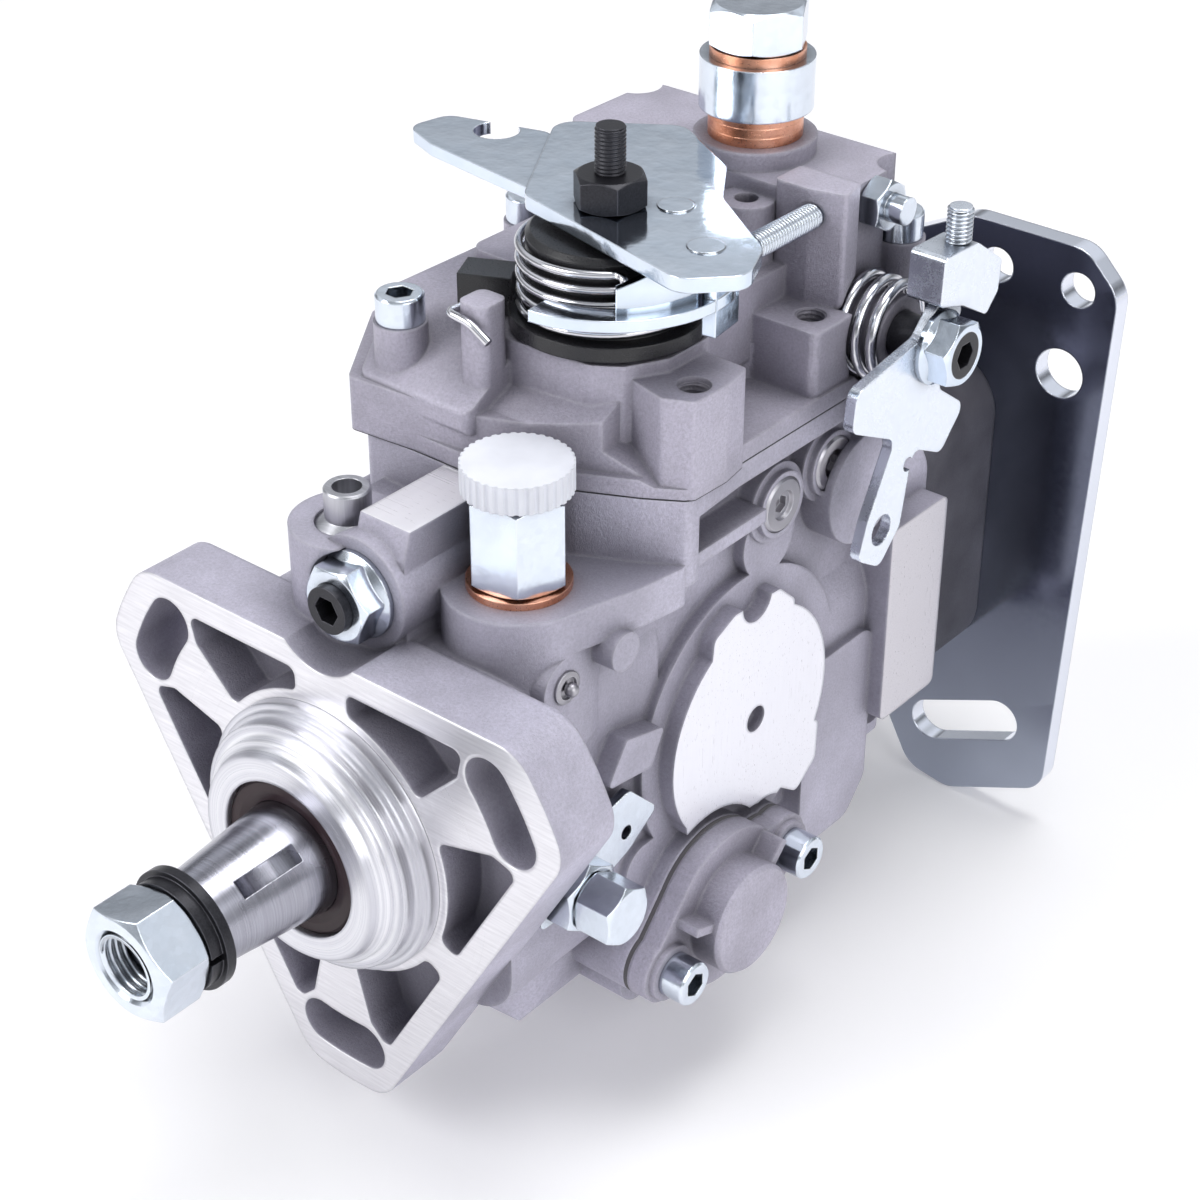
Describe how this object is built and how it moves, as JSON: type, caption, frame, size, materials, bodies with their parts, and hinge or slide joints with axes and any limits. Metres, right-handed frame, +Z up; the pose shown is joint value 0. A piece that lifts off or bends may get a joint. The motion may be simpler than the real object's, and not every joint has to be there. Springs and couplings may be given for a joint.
{
  "type": "diesel injection pump",
  "caption": "Distributor-type diesel injection pump with a slotted triangular flange, tapered drive shaft, governor cover, throttle and stop levers and a rear support plate.",
  "frame": {"origin": "on the drive shaft's axis in the machined front face of the mounting flange", "axes": "-Y out of the drive end along the shaft, +X to the right seen from the drive end, +Z up towards the governor cover"},
  "size_m": [0.126, 0.2675, 0.2177],
  "materials": {
    "cast_aluminium": "sand cast, satin",
    "cover_aluminium": "cast, satin",
    "ground_steel": "ground",
    "zinc_steel": "bright zinc plated",
    "spring_steel": "drawn wire",
    "black_steel": "black oxide",
    "dark_head": "dark phosphated",
    "bracket_steel": "dark zinc plated plate",
    "copper": "soft copper",
    "white_plastic": "white moulded plastic",
    "black_plastic": "black moulded plastic",
    "seal_rubber": "brown black rubber",
    "gasket": "grey gasket",
    "bronze": "sintered bronze"
  },
  "bodies": {
    "base": {"pump_housing": "cast_aluminium", "shaft_seal": "seal_rubber", "shaft_bush": "bronze", "feed_pump_ring": "ground_steel", "feed_pump_plate": "ground_steel", "distributor_head": "dark_head", "head_screws": "zinc_steel", "delivery_valve_holders": "ground_steel", "timing_cover": "cast_aluminium", "timing_cover_left": "cast_aluminium", "timing_screws": "zinc_steel", "timing_gaskets": "gasket", "timing_spring": "spring_steel", "governor_shaft": "ground_steel", "governor_shaft_nut": "zinc_steel", "correction_lever": "ground_steel", "governor_cover": "cover_aluminium", "cover_screws": "zinc_steel", "regulating_valve": "ground_steel", "inlet_fitting": "zinc_steel", "copper_washers": "copper", "return_fittings": "zinc_steel", "adjusting_screws": "zinc_steel", "lever_pivot_bolts": "ground_steel", "ball_plug": "ground_steel", "seal_tab": "zinc_steel", "rear_bracket": "bracket_steel", "spring_seat": "black_plastic", "throttle_spring": "spring_steel", "stop_spring": "spring_steel", "plunger_springs": "spring_steel", "governor_spring": "spring_steel"},
    "shaft": {"drive_shaft": "ground_steel", "shaft_washers": "black_steel", "shaft_nut": "zinc_steel", "feed_pump_rotor": "ground_steel", "feed_pump_vanes": "ground_steel", "governor_drive_gear": "ground_steel", "cross_disc": "ground_steel", "cam_plate": "ground_steel", "plunger": "ground_steel"},
    "carrier": {"flyweight_carrier": "ground_steel"},
    "weight_1": {"flyweight_1": "ground_steel"},
    "weight_2": {"flyweight_2": "ground_steel"},
    "weight_3": {"flyweight_3": "ground_steel"},
    "weight_4": {"flyweight_4": "ground_steel"},
    "sleeve": {"governor_sleeve": "ground_steel"},
    "lever": {"governor_lever": "ground_steel"},
    "collar": {"control_collar": "ground_steel"},
    "ring": {"roller_ring": "ground_steel", "rollers": "ground_steel"},
    "piston": {"timing_piston": "ground_steel"},
    "throttle": {"control_shaft": "ground_steel", "throttle_lever": "zinc_steel", "throttle_nut": "black_steel"},
    "stop": {"stop_shaft": "ground_steel", "stop_lever": "zinc_steel", "stop_nut": "zinc_steel"},
    "cap": {"inlet_cap": "white_plastic"}
  },
  "joints": [
    {"name": "shaft_spin", "type": "hinge", "parent": "base", "child": "shaft", "pos_m": [0, 0, 0], "axis": [0, 1, 0], "continuous": true},
    {"name": "carrier_spin", "type": "hinge", "parent": "base", "child": "carrier", "pos_m": [0, 0.06, 0.051], "axis": [0, 1, 0], "continuous": true},
    {"name": "flyweight_1_swing", "type": "hinge", "parent": "carrier", "child": "weight_1", "pos_m": [0.0099, 0.065, 0.0609], "axis": [0.7071, 0, -0.7071], "range_deg": [0, 27.2]},
    {"name": "flyweight_2_swing", "type": "hinge", "parent": "carrier", "child": "weight_2", "pos_m": [-0.0099, 0.065, 0.0609], "axis": [0.7071, 0, 0.7071], "range_deg": [0, 27.2]},
    {"name": "flyweight_3_swing", "type": "hinge", "parent": "carrier", "child": "weight_3", "pos_m": [-0.0099, 0.065, 0.0411], "axis": [-0.7071, 0, 0.7071], "range_deg": [0, 27.2]},
    {"name": "flyweight_4_swing", "type": "hinge", "parent": "carrier", "child": "weight_4", "pos_m": [0.0099, 0.065, 0.0411], "axis": [-0.7071, 0, -0.7071], "range_deg": [0, 27.2]},
    {"name": "sleeve_slide", "type": "slide", "parent": "base", "child": "sleeve", "axis": [0, 1, 0], "range_m": [0, 0.003], "stiffness_N_per_m": 800, "springref_m": -0.004},
    {"name": "lever_tilt", "type": "hinge", "parent": "base", "child": "lever", "pos_m": [0, 0.1045, 0.03], "axis": [-1, 0, 0], "range_deg": [0, 8.3]},
    {"name": "collar_slide", "type": "slide", "parent": "base", "child": "collar", "axis": [0, -1, 0], "range_m": [0, 0.0027]},
    {"name": "ring_turn", "type": "hinge", "parent": "base", "child": "ring", "pos_m": [0, 0.07, 0], "axis": [0, 1, 0], "range_deg": [-7, 7]},
    {"name": "piston_slide", "type": "slide", "parent": "base", "child": "piston", "axis": [1, 0, 0], "range_m": [-0.004, 0.004]},
    {"name": "throttle_turn", "type": "hinge", "parent": "base", "child": "throttle", "pos_m": [0.014, 0.071, 0.1], "axis": [0, 0, 1], "range_deg": [0, 25], "stiffness_Nm_per_rad": 0.5, "springref_deg": -17.19},
    {"name": "stop_turn", "type": "hinge", "parent": "base", "child": "stop", "pos_m": [0.05, 0.125, 0.0785], "axis": [1, 0, 0], "range_deg": [0, 30], "stiffness_Nm_per_rad": 0.5, "springref_deg": -17.19},
    {"name": "cap_lift", "type": "slide", "parent": "base", "child": "cap", "axis": [0, 0, 1], "range_m": [0, 0.03]}
  ],
  "couplings": [
    {"joint": "carrier_spin", "follows": "shaft_spin", "ratio": -1.55},
    {"joint": "lever_tilt", "follows": "sleeve_slide", "rad_per_m": 47.619},
    {"joint": "collar_slide", "follows": "sleeve_slide", "ratio": 0.88571},
    {"joint": "piston_slide", "follows": "ring_turn", "m_per_rad": -0.032},
    {"joint": "flyweight_1_swing", "follows": "sleeve_slide", "rad_per_m": 157},
    {"joint": "flyweight_2_swing", "follows": "sleeve_slide", "rad_per_m": 157},
    {"joint": "flyweight_3_swing", "follows": "sleeve_slide", "rad_per_m": 157},
    {"joint": "flyweight_4_swing", "follows": "sleeve_slide", "rad_per_m": 157}
  ]
}
